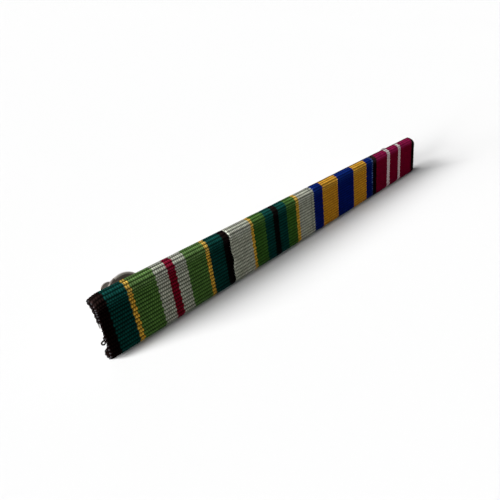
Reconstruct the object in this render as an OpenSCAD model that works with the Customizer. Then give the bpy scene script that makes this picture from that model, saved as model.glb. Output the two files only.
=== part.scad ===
// Ribbon bar: four striped medal ribbons folded over one thin metal plate,
// with two pins on its back and a butterfly clutch on each pin.
// The bar stands on its lower edge and leans back on the clutch that is further out.

/* [Ribbons] */
// Width of one ribbon along the bar
ribbon_w = 32; // [24:0.5:40]
// Height of the bar over the folded ribbons
bar_h = 13.1; // [11.5:0.1:18]
// Thickness of the folded cloth
cloth_t = 1; // [0.8:0.05:1.3]
// Height of the hem that is folded down and up over the back
hem_h = 4.2; // [2.5:0.1:4.4]
// Cloth trimmed off each end of a hem so that it can't show from the front
hem_trim = 0.4; // [0.2:0.1:3]
// Gap between neighbouring ribbons
ribbon_gap = 0.1; // [0.05:0.05:0.4]

/* [Backing bar] */
// Thickness of the metal plate that the ribbons wrap
plate_t = 0.5; // [0.4:0.05:0.8]
// Distance of the plate's ends inside the ends of the ribbons
plate_inset = 0.8; // [0.4:0.1:4]
// Clearance between the plate and the cloth
plate_gap = 0.05; // [0.02:0.01:0.1]

/* [Pins] */
// Distance from each end of the bar to its pin
pin_inset = 10.2; // [8:0.1:25]
// Radius of a pin
pin_r = 0.6; // [0.4:0.05:0.8]
// Length of a pin from the back of the plate to its point
pin_l = 9.7; // [8.5:0.1:11]
// Length of the pin's pointed end
pin_point_l = 0.8; // [0.4:0.1:1.5]
// Radius of the pin's blunted point
pin_point_r = 0.12; // [0.05:0.01:0.25]
// Radius of the solder pad that holds a pin
pad_r = 1.8; // [1:0.1:2]
// Thickness of the solder pad
pad_t = 0.35; // [0.2:0.05:0.8]

/* [Clutches] */
// Gap between the pin's point and the inside of a cap that is pushed home
point_gap = 0.3; // [0.1:0.1:0.8]
// Distance that the left clutch is drawn back from home
left_drawn = 1.8; // [0:0.1:2.2]
// Turn of the left clutch's wings about its pin, in degrees
left_turn = 29; // [-40:1:40]
// Turn of the right clutch's wings about its pin, in degrees
right_turn = -12; // [-40:1:40]
// Radius of the flange
flange_r = 4.2; // [3.8:0.1:4.8]
// Radius of the rolled bead round the flange
bead_r = 0.3; // [0.2:0.05:0.5]
// Thickness of the stamped sheet
sheet_t = 0.35; // [0.25:0.05:0.45]
// Radius of the hole that the pin enters
entry_r = 0.95; // [0.85:0.05:1.3]
// Radius of the cap behind the flange
cap_r = 2.5; // [2.5:0.1:3]
// Height of the domed cap behind the middle of the flange
cap_h = 4.6; // [4.4:0.1:5.4]
// Radius of the round that turns the cap's wall into its dome
cap_edge_r = 2.4; // [0.8:0.1:2.4]

/* [Spring wings] */
// Radius of a wing's round end
wing_r = 1.6; // [1.3:0.05:1.8]
// Distance from the pin to the middle of a wing's round end
wing_reach = 3.25; // [2.9:0.05:3.5]
// Width of the strip that joins the wings through the cap
strip_w = 2.4; // [1.8:0.1:2.8]
// Thickness of the spring
spring_t = 0.3; // [0.2:0.05:0.4]
// Distance from the middle of the flange to the middle of the spring
spring_level = 1.25; // [1:0.05:1.6]
// Clearance round the pin in the spring
pin_fit = 0.03; // [0.01:0.01:0.08]
// Clearance round the spring in the cap's windows
window_gap = 0.1; // [0.05:0.05:0.3]
// Height that the windows leave above the spring for the wings to flex
wing_flex = 1; // [0.4:0.1:1.4]

/* [Hidden] */
$fn = 64;

BLACK = [0.06, 0.05, 0.05];
GREEN = [0.02, 0.34, 0.29];
TEAL = [0.03, 0.37, 0.33];
LEAF = [0.31, 0.49, 0.19];
YELLOW = [0.90, 0.66, 0.20];
WHITE = [0.78, 0.79, 0.74];
RED = [0.58, 0.05, 0.16];
BLUE = [0.06, 0.12, 0.50];
GOLD = [0.80, 0.55, 0.13];
MAROON = [0.50, 0.04, 0.20];
NICKEL = [0.78, 0.77, 0.75];

// The stripes of each ribbon, from its left edge to its middle. The other half mirrors them.
// Columns: colour, and width as a share of the ribbon's width in thirty-seconds.
// The last row of each ribbon is its middle stripe, at its full width.
STRIPES = [
    [[BLACK, 2.1], [GREEN, 3.9], [YELLOW, 1.15], [LEAF, 5], [WHITE, 3], [RED, 1.7]],
    [[WHITE, 6.9], [YELLOW, 1.1], [LEAF, 3.9], [TEAL, 3.1], [BLACK, 2]],
    [[BLUE, 3.75], [GOLD, 7.95], [BLUE, 8.6]],
    [[BLACK, 2.1], [MAROON, 8.6], [WHITE, 2.1], [MAROON, 6.4]],
];
STRIPE_SHARES = 32;
ribbons = len(STRIPES);
bar_l = ribbons * ribbon_w;

// The plate lies in the middle of the folded cloth
slot_t = plate_t + 2 * plate_gap;
bar_t = 2 * cloth_t + slot_t;
fold_r = bar_t / 2;
plate_back = cloth_t + plate_gap + plate_t;
plate_h = bar_h - 2 * (cloth_t + plate_gap);
hem_front = cloth_t + slot_t;
pin_x = bar_l / 2 - pin_inset;
pin_z = bar_h / 2;

// Pushed home, a clutch has the pin's point just short of the inside of its cap
right_flange_y = plate_back + pin_l + point_gap - (cap_h - sheet_t);
left_flange_y = right_flange_y + left_drawn;

// Leaning back, the bar rests on the round of its lower fold and on the clutch that stands out most.
// The floor touches two circles, seen from the end: the fold, and the bead at the flange's lowest point.
prop_z = pin_z - flange_r + bead_r;
prop_run = left_flange_y - fold_r;
prop_rise = prop_z - fold_r;
lean = atan2(prop_rise, prop_run) + asin((fold_r - bead_r) / norm([prop_run, prop_rise]));

// Where the leaning bar lies: its lowest point is on the floor, and it is centred from front to back
floor_z = fold_r - height_at(fold_r, fold_r);
front_y = depth_at(fold_r, fold_r) - fold_r;
back_y = depth_at(left_flange_y + cap_h - cap_edge_r, pin_z + cap_r - cap_edge_r) + cap_edge_r;
centre_y = (front_y + back_y) / 2;

function depth_at(y, z) = y * cos(lean) + z * sin(lean);
function height_at(y, z) = z * cos(lean) - y * sin(lean);
function total(v, n) = n <= 0 ? 0 : v[n - 1] + total(v, n - 1);

// A stripe's edge, set to the nearest hundredth of a millimetre so that the stripes meet exactly
function on_grid(x) = round(x * 100) / 100;

// All the stripes of one ribbon, from its left edge to its right edge
function mirrored(half) =
    [for (i = [0 : 2 * len(half) - 2]) half[i < len(half) ? i : 2 * len(half) - 2 - i]];

// Stands a piece made in the bar's own frame on the floor: x along the bar, y behind its face, z up it
module stand() {
    translate([0, -centre_y, floor_z]) rotate([-lean, 0, 0]) children();
}

// Extrudes an outline drawn in depth and height along the bar, from x for a length of l
module along_bar(x, l) {
    translate([x, 0, 0]) rotate([90, 0, 90]) linear_extrude(l) children();
}

// Outline with two round ends, t thick and h high, with its lowest point at the origin's height
module round_ended(t, h) {
    translate([-t / 2, t / 2]) square([t, h - t]);
    for (z = [t / 2, h - t / 2]) translate([0, z]) circle(t / 2);
}

// Section of a ribbon: one wall round the plate, open on the back between its two hems
module ribbon_section() {
    difference() {
        translate([fold_r, 0]) round_ended(bar_t, bar_h);
        translate([fold_r, cloth_t]) round_ended(slot_t, bar_h - 2 * cloth_t);
        translate([fold_r, hem_h]) square([bar_t, bar_h - 2 * hem_h]);
    }
}

// One ribbon, a stripe at a time, with the ends of its hems trimmed away
module ribbon(i) {
    stripes = mirrored(STRIPES[i]);
    shares = [for (s = stripes) s[1] / STRIPE_SHARES];
    wide = ribbon_w - ribbon_gap;
    start = i * ribbon_w - bar_l / 2 + ribbon_gap / 2;
    edges = [for (k = [0 : len(stripes)]) on_grid(start + wide * total(shares, k))];
    stand() difference() {
        for (k = [0 : len(stripes) - 1])
            color(stripes[k][0]) along_bar(edges[k], edges[k + 1] - edges[k]) ribbon_section();
        for (x = [edges[0] - hem_trim, edges[len(stripes)] - hem_trim])
            translate([x, hem_front, -bar_t]) cube([2 * hem_trim, bar_t, bar_h + 2 * bar_t]);
    }
}

// The metal plate with its two soldered pins
module backing_bar() {
    color(NICKEL) stand() {
        along_bar(plate_inset - bar_l / 2, bar_l - 2 * plate_inset)
            translate([cloth_t + plate_gap + plate_t / 2, cloth_t + plate_gap]) round_ended(plate_t, plate_h);
        for (x = [-pin_x, pin_x]) translate([x, plate_back, pin_z]) rotate([-90, 0, 0]) pin();
    }
}

module pin() {
    root = plate_t / 2;
    translate([0, 0, -root]) cylinder(r = pad_r, h = root + pad_t);
    translate([0, 0, -root]) cylinder(r = pin_r, h = root + pin_l - pin_point_l);
    translate([0, 0, pin_l - pin_point_l]) cylinder(r1 = pin_r, r2 = pin_point_r, h = pin_point_l);
}

// Places a clutch with its flange at a depth of y and its wings turned about the pin
module on_pin(x, y, turn) {
    stand() translate([x, y, pin_z]) rotate([0, turn, 0]) rotate([-90, 0, 0]) children();
}

// Outline of the cap, drawn from its axis, with a wide round at its outer edge
module cap_outline(r, h, edge) {
    square([r, h - edge]);
    square([r - edge, h]);
    intersection() {
        square([r, h]);
        translate([r - edge, h - edge]) circle(edge);
    }
}

// Stamped cap: a flange with a rolled bead, and a hollow dome behind it with a window for each wing
module clutch_cap() {
    window_h = spring_t + window_gap / 2 + wing_flex;
    color(NICKEL) difference() {
        rotate_extrude() difference() {
            union() {
                translate([0, -sheet_t / 2]) square([flange_r - bead_r, sheet_t]);
                translate([flange_r - bead_r, 0]) circle(bead_r);
                cap_outline(cap_r, cap_h, cap_edge_r);
            }
            translate([0, sheet_t / 2])
                cap_outline(cap_r - sheet_t, cap_h - 3 / 2 * sheet_t, cap_edge_r - sheet_t);
            translate([0, -sheet_t]) square([entry_r, 2 * sheet_t]);
        }
        translate([-flange_r, -strip_w / 2 - window_gap, spring_level - spring_t / 2 - window_gap / 2])
            cube([2 * flange_r, strip_w + 2 * window_gap, window_h]);
    }
}

// Flat spring that grips the pin, with a round wing at each end
module clutch_spring() {
    color(NICKEL) translate([0, 0, spring_level - spring_t / 2]) difference() {
        union() {
            translate([-wing_reach, -strip_w / 2, 0]) cube([2 * wing_reach, strip_w, spring_t]);
            for (x = [-wing_reach, wing_reach]) translate([x, 0, 0]) cylinder(r = wing_r, h = spring_t);
        }
        translate([0, 0, -spring_t]) cylinder(r = pin_r + pin_fit, h = 3 * spring_t);
    }
}

backing_bar();
for (i = [0 : ribbons - 1])
    ribbon(i);
on_pin(-pin_x, left_flange_y, left_turn) clutch_cap();  // clutch_cap_left
on_pin(-pin_x, left_flange_y, left_turn) clutch_spring();  // clutch_spring_left
on_pin(pin_x, right_flange_y, right_turn) clutch_cap();  // clutch_cap_right
on_pin(pin_x, right_flange_y, right_turn) clutch_spring();  // clutch_spring_right
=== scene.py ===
import math

import bmesh
import bpy
from mathutils import Matrix, Vector


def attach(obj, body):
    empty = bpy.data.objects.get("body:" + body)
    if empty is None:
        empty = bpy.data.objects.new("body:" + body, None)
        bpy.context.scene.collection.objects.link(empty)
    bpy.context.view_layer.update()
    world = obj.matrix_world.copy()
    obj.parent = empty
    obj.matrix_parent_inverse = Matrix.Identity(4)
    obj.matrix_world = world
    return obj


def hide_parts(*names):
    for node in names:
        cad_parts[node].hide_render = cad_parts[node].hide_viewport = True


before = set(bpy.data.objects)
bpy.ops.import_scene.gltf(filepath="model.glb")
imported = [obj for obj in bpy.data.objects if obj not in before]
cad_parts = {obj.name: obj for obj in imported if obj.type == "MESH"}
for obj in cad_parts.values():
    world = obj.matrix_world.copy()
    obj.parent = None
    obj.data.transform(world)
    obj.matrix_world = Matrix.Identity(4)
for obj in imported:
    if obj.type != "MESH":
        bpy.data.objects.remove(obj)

bl_info = {
    "name": "Ribbon Bar",
    "version": (1, 0, 0),
    "blender": (4, 5, 0),
    "location": "3D View > Sidebar > Ribbon Bar",
    "description": "Dresses a pinned metal bar in folded, ribbed and striped ribbons",
    "category": "Object",
}

MM = 0.001

# The bar in its own frame, in millimetres: x from its left end, y behind its face, z up its height
BAR_L = 128.0
BAR_H = 13.1
CLOTH_T = 1.0
PLATE_T = 0.5
PLATE_GAP = 0.05
PLATE_INSET = 0.8
PLATE_LOW = CLOTH_T + PLATE_GAP
PLATE_BACK = PLATE_LOW + PLATE_T
PLATE_CORNER = 0.7

# The cloth. The lower fold is a half circle. The upper one is pulled tighter over the plate, so its corners
# are sharper and it has a flat between them. The cloth that shows is a hair thinner than the solid's.
FOLD_R = PLATE_LOW + PLATE_T / 2
TOP_R = 0.8
TOP_FLAT = 2 * (FOLD_R - TOP_R)
THINNER = 0.04
WALL = CLOTH_T - THINNER
LOWER_HEM = 4.2
UPPER_HEM = 4.65

# Lengths on the cloth's outside, in millimetres: from mid height of its front to either raw end, the whole,
# and from the lower raw end to the middle of the upper fold
LOWER_RUN = BAR_H / 2 - FOLD_R + math.pi * FOLD_R + LOWER_HEM - FOLD_R
UPPER_RUN = BAR_H / 2 - TOP_R + math.pi * TOP_R + TOP_FLAT + UPPER_HEM - TOP_R
CLOTH_L = LOWER_RUN + UPPER_RUN
CROWN = LOWER_RUN + BAR_H / 2 - TOP_R + math.pi / 2 * TOP_R + TOP_FLAT / 2

# Pins and clutches, in millimetres. A clutch's own frame has its flange's middle at the origin and its
# height along z, away from the bar.
PIN_INSET = 10.2
PIN_Z = BAR_H / 2
PIN_R = 0.6
PIN_L = 9.7
POINT_L = 0.8
FLANGE_R = 4.2
BEAD_R = 0.3
SHEET_T = 0.35
ENTRY_R = 0.95
CAP_R = 2.5
CAP_H = 4.6
DOME_R = 2.4
WING_R = 1.6
WING_REACH = 3.25
STRIP_W = 2.4
SPRING_T = 0.3
SPRING_LEVEL = 1.25
WINDOW_GAP = 0.1
WINDOW_LOW = 1.05
WINDOW_HIGH = 2.4

# The right clutch is pushed home, until the pin's point all but meets its dome. The left one is drawn back.
POINT_GAP = 0.3
HOME_Y = PLATE_BACK + PIN_L + POINT_GAP - (CAP_H - SHEET_T)
DRAWN = 1.8
CLUTCHES = {
    "left": {"x": PIN_INSET, "y": HOME_Y + DRAWN, "turn": 29},
    "right": {"x": BAR_L - PIN_INSET, "y": HOME_Y, "turn": -12},
}

# The bar stands on its lower fold and on the left clutch's flange, so it leans back
PROP_RUN = CLUTCHES["left"]["y"] - FOLD_R
PROP_RISE = PIN_Z - FLANGE_R + BEAD_R - FOLD_R
LEAN = math.atan2(PROP_RISE, PROP_RUN) + math.asin((FOLD_R - BEAD_R) / math.hypot(PROP_RUN, PROP_RISE))


def depth_at(y, z):
    """How far behind the bar's lowest front corner a point of its own frame comes to lie."""
    return y * math.cos(LEAN) + z * math.sin(LEAN)


def height_at(y, z):
    """How high over that corner such a point comes to lie."""
    return z * math.cos(LEAN) - y * math.sin(LEAN)


# Depths of the leaning bar's front, back and middle, and how far it is raised to stand on the floor
FRONT_Y = depth_at(FOLD_R, FOLD_R) - FOLD_R
BACK_Y = depth_at(CLUTCHES["left"]["y"] + CAP_H - DOME_R, PIN_Z + CAP_R - DOME_R) + DOME_R
CENTRE_Y = (FRONT_Y + BACK_Y) / 2
FLOOR_Z = FOLD_R - height_at(FOLD_R, FOLD_R)

# Where each ribbon starts along the bar, and its stripes from left to right, in millimetres
LEFT_EDGES = {"ribbon_1": 0.22, "ribbon_2": 31.98, "ribbon_3": 63.82, "ribbon_4": 96.56}
STRIPES = {
    "ribbon_1": [
        ("black", 2.1), ("dark_green", 4.0), ("yellow", 1.05), ("leaf_green", 5.05), ("pale_grey", 2.9),
        ("red", 1.65), ("pale_grey", 2.9), ("leaf_green", 5.0), ("yellow", 1.1), ("dark_green", 4.0),
        ("black", 1.95),
    ],
    "ribbon_2": [
        ("pale_grey", 6.75), ("yellow", 0.95), ("moss_green", 4.0), ("dark_green", 3.0), ("black", 1.9),
        ("dark_green", 3.2), ("moss_green", 3.85), ("yellow", 1.2), ("pale_grey", 6.95),
    ],
    "ribbon_3": [("blue", 3.9), ("gold", 7.85), ("blue", 8.7), ("gold", 7.85), ("blue", 4.4)],
    "ribbon_4": [
        ("black", 2.1), ("maroon", 7.55), ("white", 2.0), ("maroon", 6.15), ("white", 1.9),
        ("maroon", 9.1), ("black", 2.6),
    ],
}

# How each ribbon is woven: ribs round the bar, rows of faces to a rib, warp threads across, heights of a
# rib and of a thread in millimetres, tone of the painted shade at the bottom of a groove, how much a
# stripe's edge strays, the yarn's roughness, how far a painted sheen pales the colours on the upper fold,
# how far in front of its crown that begins, and the weft's colour. Where the weft shows through, "shows"
# gives the line's distance from the right selvedge, its width and its colour.
WEAVES = {
    "ribbon_1": {"ribs": 32, "rows": 7, "threads": 69, "rib_h": 0.20, "thread_h": 0.09, "groove_shade": 0.06,
                 "stray": 0.1, "roughness": 0.75, "pale": 0.20, "reach": 3.7, "weft": (0.03, 0.03, 0.033)},
    "ribbon_2": {"ribs": 32, "rows": 7, "threads": 69, "rib_h": 0.18, "thread_h": 0.09, "groove_shade": 0.22,
                 "stray": 0.2, "roughness": 0.75, "pale": 0.20, "reach": 3.5, "weft": (0.15, 0.16, 0.14),
                 "shows": (1.3, 0.3, (0.015, 0.02, 0.02))},
    "ribbon_3": {"ribs": 34, "rows": 6, "threads": 78, "rib_h": 0.15, "thread_h": 0.08, "groove_shade": 0.36,
                 "stray": 0.1, "roughness": 0.72, "pale": 0.15, "reach": 3.7, "weft": (0.1, 0.13, 0.22),
                 "shows": (0.5, 0.5, (0.10, 0.16, 0.34))},
    "ribbon_4": {"ribs": 38, "rows": 5, "threads": 74, "rib_h": 0.09, "thread_h": 0.05, "groove_shade": 0.65,
                 "stray": 0.3, "roughness": 0.7, "pale": 0.36, "reach": 2.9, "weft": (0.02, 0.015, 0.017)},
}
# How far a stripe's edge steps from rib to rib, as a share of a thread
STEP = 0.3

# How much lower the front of the upper fold lies, in millimetres, where a ribbon is wrapped less tight
DIPS = {"ribbon_1": 0.9, "ribbon_2": 0.7, "ribbon_3": 0.7, "ribbon_4": 1.1}

# How the line where two ribbons meet, or a ribbon ends, strays from straight, in millimetres: waves, a notch
# at mid height, how far the upper fold droops there, how far the hems are tucked in, how far the line leans
# to the right over the upper fold, how far the folds bulge out at the ribbon's left end, and how much lower
# its upper raw end hangs there
USUAL_LINE = {"wave": 0.15, "notch": 0.0, "droop": 0.0, "tuck": 0.45, "lean": 0.0, "bulge": 0.0, "drop": 0.0}
EDGE_LINES = [
    dict(USUAL_LINE, droop=0.5, tuck=0.7, bulge=0.2, drop=1.3),
    dict(USUAL_LINE, wave=0.7, notch=0.25, lean=-0.35),
    USUAL_LINE,
    USUAL_LINE,
    dict(USUAL_LINE, droop=1.0, tuck=0.6),
]

# How far from a ribbon's end these reach, in millimetres
DROOP_REACH = 2.4
TUCK_REACH = 2.4
DROP_REACH = 2.2

# Where these begin and end along the cloth, in millimetres past the edge of the face
UPPER_TUCK = (3.0, 8.5)
LOWER_TUCK = (3.7, 5.2)
LINE_LEAN = (-0.5, 2.5)
FRONT_DIP = (-0.3, 2.6)
BULGE_MIDDLE = 3.4

# The camera's place in the bar's own frame, in millimetres, its directions in the row frame, and its focal
# length in pixels of the photograph's frame
CAMERA_PLACE = (-20.74, -60.588, 45.139)
CAMERA_RIGHT = Vector((0.6731, -0.7336, 0.0937))
CAMERA_LOOK = Vector((0.6289, 0.5013, -0.5944))
FOCAL_PX = 403
FRAME_PX = 500
SENSOR_W = 36.0


def to_row(x, y, z):
    """A point of the bar's own frame, in millimetres, as a point of the row frame in metres."""
    return Vector((x - BAR_L / 2, depth_at(y, z) - CENTRE_Y, height_at(y, z) + FLOOR_Z)) * MM


def bar_matrix():
    """The bar's own frame, in millimetres, in the row frame."""
    return Matrix.Translation(to_row(0, 0, 0)) @ Matrix.Rotation(-LEAN, 4, "X") @ Matrix.Scale(MM, 4)


def facing_back(x, y, z):
    """A frame at a point of the bar's own frame, with its z pointing behind the bar."""
    return Matrix.Translation((x, y, z)) @ Matrix.Rotation(math.radians(-90), 4, "X")


class Graph:
    """Adds nodes to a node tree and links them, for geometry and shader trees alike."""

    def __init__(self, tree):
        self.tree = tree

    def node(self, kind, inputs=None, **settings):
        node = self.tree.nodes.new(kind)
        for name, value in settings.items():
            setattr(node, name, value)
        for key, value in (inputs or {}).items():
            self.feed(node.inputs[key], value)
        return node

    def feed(self, socket, value):
        if isinstance(value, bpy.types.NodeSocket):
            self.tree.links.new(value, socket)
        else:
            socket.default_value = value

    def math(self, operation, *values):
        return self.node("ShaderNodeMath", dict(enumerate(values)), operation=operation).outputs[0]

    def add(self, *values):
        total = values[0]
        for value in values[1:]:
            total = self.math("ADD", total, value)
        return total

    def times(self, *values):
        total = values[0]
        for value in values[1:]:
            total = self.math("MULTIPLY", total, value)
        return total

    def minus(self, a, b):
        return self.math("SUBTRACT", a, b)

    def over(self, a, b):
        return self.math("DIVIDE", a, b)

    def between(self, value, low, high):
        return self.math("MINIMUM", self.math("MAXIMUM", value, low), high)

    def vector(self, x, y, z):
        return self.node("ShaderNodeCombineXYZ", {0: x, 1: y, 2: z}).outputs[0]

    def parts(self, vector):
        return self.node("ShaderNodeSeparateXYZ", {0: vector}).outputs[:3]

    def ramp(self, value, low, high, start=0.0, end=1.0):
        """Runs smoothly from start to end as value goes from low to high."""
        return self.node("ShaderNodeMapRange", {0: value, 1: low, 2: high, 3: start, 4: end},
                         interpolation_type="SMOOTHSTEP").outputs[0]

    def noise(self, vector, scale=1.0, detail=2.0):
        inputs = {"Vector": vector, "Scale": scale, "Detail": detail}
        return self.node("ShaderNodeTexNoise", inputs).outputs[0]

    def crest(self, value, power):
        """One at the middle of each unit of value, falling to zero at its ends."""
        wave = self.math("ABSOLUTE", self.math("SINE", self.times(value, math.pi)))
        return self.math("POWER", wave, power)

    def fade(self, distance, reach):
        """One at no distance, fading over about reach."""
        return self.math("EXPONENT", self.times(distance, -1 / reach))

    def bell(self, distance, sharpness):
        """One at no distance, and falling off evenly to both sides."""
        return self.math("EXPONENT", self.times(distance, distance, -sharpness))

    def lifted(self, low, share):
        """Goes from low to one as share goes from zero to one."""
        return self.add(self.times(share, self.minus(1, low)), low)

    def varied(self, noise, amount):
        """A tone about one, which varies by amount as noise goes from zero to one."""
        return self.add(self.times(noise, amount), 1 - amount / 2)


def geometry_tree(name, inputs):
    """A geometry node tree with named inputs, and its Graph, group inputs and output node."""
    tree = bpy.data.node_groups.new(name, "GeometryNodeTree")
    for label, kind, value in inputs:
        socket = tree.interface.new_socket(label, in_out="INPUT", socket_type="NodeSocket" + kind)
        if value is not None:
            socket.default_value = value
    tree.interface.new_socket("Geometry", in_out="OUTPUT", socket_type="NodeSocketGeometry")
    graph = Graph(tree)
    return tree, graph, graph.node("NodeGroupInput").outputs, graph.node("NodeGroupOutput")


def marked(g, geometry, value):
    """Geometry whose points keep their place on the cloth in an attribute, for its material to read."""
    return g.node("GeometryNodeStoreNamedAttribute", {"Geometry": geometry, "Name": "cloth", "Value": value},
                  data_type="FLOAT_VECTOR", domain="POINT").outputs[0]


def thread_section(g, value, sides):
    """The section of a tree's threads."""
    return g.node("GeometryNodeCurvePrimitiveCircle", {
        "Resolution": sides, "Radius": value["Thread Radius"]}).outputs[0]


def tube(g, curve, section):
    """A closed tube of a thread's section along a curve."""
    return g.node("GeometryNodeCurveToMesh", {
        "Curve": curve, "Profile Curve": section, "Fill Caps": True}).outputs[0]


def finish_tree(g, geometry, value, out):
    """Ends a geometry tree: shaded smooth, with its instances realized and its material set."""
    smooth = g.node("GeometryNodeSetShadeSmooth", {"Geometry": geometry, "Shade Smooth": True}).outputs[0]
    whole = g.node("GeometryNodeRealizeInstances", {"Geometry": smooth}).outputs[0]
    finished = g.node("GeometryNodeSetMaterial", {"Geometry": whole, "Material": value["Material"]})
    g.feed(out.inputs[0], finished.outputs[0])


def linked(name, data):
    """An object at the origin with this data, in the scene."""
    piece = bpy.data.objects.new(name, data)
    bpy.context.scene.collection.objects.link(piece)
    return piece


def grown(name, tree, material, values, matrix):
    """The plain mesh object that a geometry node tree makes from these input values."""
    grower = linked(name + "_grower", bpy.data.meshes.new(name + "_seed"))
    modifier = grower.modifiers.new("Grow", "NODES")
    modifier.node_group = tree
    for item in tree.interface.items_tree:
        if item.item_type == "SOCKET" and item.in_out == "INPUT":
            if item.name == "Material":
                modifier[item.identifier] = material
            elif item.name in values:
                modifier[item.identifier] = values[item.name]
    evaluated = grower.evaluated_get(bpy.context.evaluated_depsgraph_get())
    mesh = bpy.data.meshes.new_from_object(evaluated)
    mesh.name = name
    grower.modifiers.clear()
    bpy.data.objects.remove(grower)
    if not mesh.polygons:
        raise RuntimeError(name + " came out empty")
    mesh.transform(matrix)
    return linked(name, mesh)


# What every tree that follows the cloth needs to know of its ribbon
CLOTH_INPUTS = [
    ("Ribs", "Int", 32), ("Width", "Float", 32.0), ("Left Edge", "Float", 0.0), ("Left Bulge", "Float", 0.0),
    ("Left Drop", "Float", 0.0), ("Front Dip", "Float", 0.0), ("Material", "Material", None),
]
for trait in ("Seed", "Wave", "Notch", "Droop", "Tuck", "Lean"):
    CLOTH_INPUTS += [("Left " + trait, "Float", 0.0), ("Right " + trait, "Float", 0.0)]


class Cloth:
    """Nodes that place points on a ribbon. s is the way from mid height of its front, up and round."""

    def __init__(self, g, value, s, from_left):
        self.g, self.value = g, value
        # The upper raw end hangs lower at its left corner
        near_end = g.ramp(s, UPPER_RUN - 4.0, UPPER_RUN)
        s = g.add(s, g.times(value["Left Drop"], g.fade(from_left, DROP_REACH), near_end))
        self.s = s
        self.side = g.math("SIGN", s)
        self.upper = g.times(g.add(self.side, 1), 0.5)
        # The way goes straight up or down the face, then round a fold of two corners and a flat, then back
        run = g.math("ABSOLUTE", s)
        radius = g.minus(FOLD_R, g.times(self.upper, FOLD_R - TOP_R))
        face = g.minus(BAR_H / 2, radius)
        quarter = g.times(radius, math.pi / 2)
        flat = g.times(self.upper, TOP_FLAT)
        self.past_face = g.minus(run, face)
        first = g.between(self.past_face, 0.0, quarter)
        flat_way = g.between(g.minus(self.past_face, quarter), 0.0, flat)
        second = g.between(g.minus(self.past_face, g.add(quarter, flat)), 0.0, quarter)
        hem = g.math("MAXIMUM", g.minus(self.past_face, g.add(quarter, flat, quarter)), 0.0)
        self.turn = g.over(g.add(first, second), radius)
        sine, cosine = g.math("SINE", self.turn), g.math("COSINE", self.turn)
        self.y = g.add(g.times(g.minus(1, cosine), radius), flat_way)
        height = g.add(g.math("MINIMUM", run, face), g.times(sine, radius))
        self.z = g.times(self.side, g.minus(height, hem))
        self.out_y, self.out_z = g.times(cosine, -1), g.times(self.side, sine)

    def inset(self, end):
        """How far the selvedge at one end strays inward, and how far its hem is tucked in."""
        g, value = self.g, self.value
        # Uneven waves, of which only the higher part shows
        rough = g.noise(g.vector(g.times(self.s, 0.33), g.times(value[end + " Seed"], 3.7), 2.0))
        waves = g.times(g.math("MAXIMUM", g.minus(rough, 0.35), 0.0), value[end + " Wave"])
        notch = g.times(value[end + " Notch"], g.bell(self.s, 0.6))
        # The upper hem narrows all the way to its raw end, the lower one just past the fold
        narrowed = g.add(
            g.times(self.upper, g.ramp(self.past_face, *UPPER_TUCK), 0.45),
            g.times(g.minus(1, self.upper), g.ramp(self.past_face, *LOWER_TUCK)),
        )
        tuck = g.times(narrowed, value[end + " Tuck"])
        over_top = g.times(self.upper, g.ramp(self.past_face, *LINE_LEAN), value[end + " Lean"])
        if end == "Left":
            # Both folds bulge out behind
            bulging = g.times(g.bell(g.minus(self.past_face, BULGE_MIDDLE), 0.9), value["Left Bulge"])
            tuck = g.minus(tuck, bulging)
        return g.add(waves, notch, over_top), tuck

    def droop(self, from_left, from_right):
        """How far the upper fold is worn down at the ribbon's two ends, and lies lower along its front."""
        g, value = self.g, self.value
        total = g.times(g.ramp(self.past_face, *FRONT_DIP, 1.0, 0.0), value["Front Dip"])
        for distance, end in ((from_left, "Left"), (from_right, "Right")):
            near = g.math("MAXIMUM", g.minus(1, g.times(distance, 1 / DROOP_REACH)), 0.0)
            total = g.add(total, g.times(value[end + " Droop"], near, near))
        high = g.ramp(self.z, 2.5, BAR_H / 2)
        return g.times(high, total, -1)

    def place(self, x, off, droop):
        """The point at x along the bar that stands off the cloth's outside."""
        g = self.g
        return g.vector(
            g.add(self.value["Left Edge"], x),
            g.add(self.y, g.times(off, self.out_y)),
            g.add(BAR_H / 2, self.z, g.times(off, self.out_z), droop),
        )


def standing_off(g, value, u, t, inner):
    """How far points stand off the cloth's section, outside or inside it, and the crests of its ribs."""
    width = value["Width"]
    from_edge = g.math("MINIMUM", u, g.minus(width, u))
    from_end = g.math("MINIMUM", t, g.minus(CLOTH_L, t))

    # Ribs, and on them threads that lie half a thread apart from rib to rib
    rib = g.over(t, g.over(CLOTH_L, value["Ribs"]))
    crest = g.crest(rib, 0.6)
    odd = g.math("PINGPONG", g.math("FLOOR", rib), 1)
    thread = g.add(g.times(u, g.over(value["Threads"], width)), g.times(odd, 0.5))
    thread_crest = g.crest(thread, 0.6)

    swelling, sunk_selvedge, sunk_end = 0.14, 0.16, 0.3
    along = g.times(g.minus(t, LOWER_RUN), 0.22)
    swell = g.noise(g.vector(g.times(u, 0.16), along, value["Seed"]), detail=1.0)
    relief = g.add(
        g.times(g.minus(crest, 1), value["Rib Height"]),
        g.times(g.minus(thread_crest, 1), value["Thread Height"], crest),
        g.times(g.minus(swell, 0.5), swelling),
    )
    rounding = g.times(g.math("POWER", g.ramp(from_edge, 0.0, 0.3, 1.0, 0.0), 2.0), -sunk_selvedge)
    raw = g.ramp(from_end, 0.0, 0.8, -sunk_end, 0.0)
    outside = g.math("MINIMUM", g.add(relief, rounding, raw), 0.0)

    # The wall thins towards its selvedges and raw ends
    edge_wall, end_wall = 0.42, 0.75
    wall = g.math("MINIMUM", g.ramp(from_edge, 0.1, 1.6, edge_wall, WALL),
                  g.ramp(from_end, 0.0, 1.2, end_wall, WALL))
    return g.add(g.times(g.minus(1, inner), outside), g.times(inner, wall, -1)), crest


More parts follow.
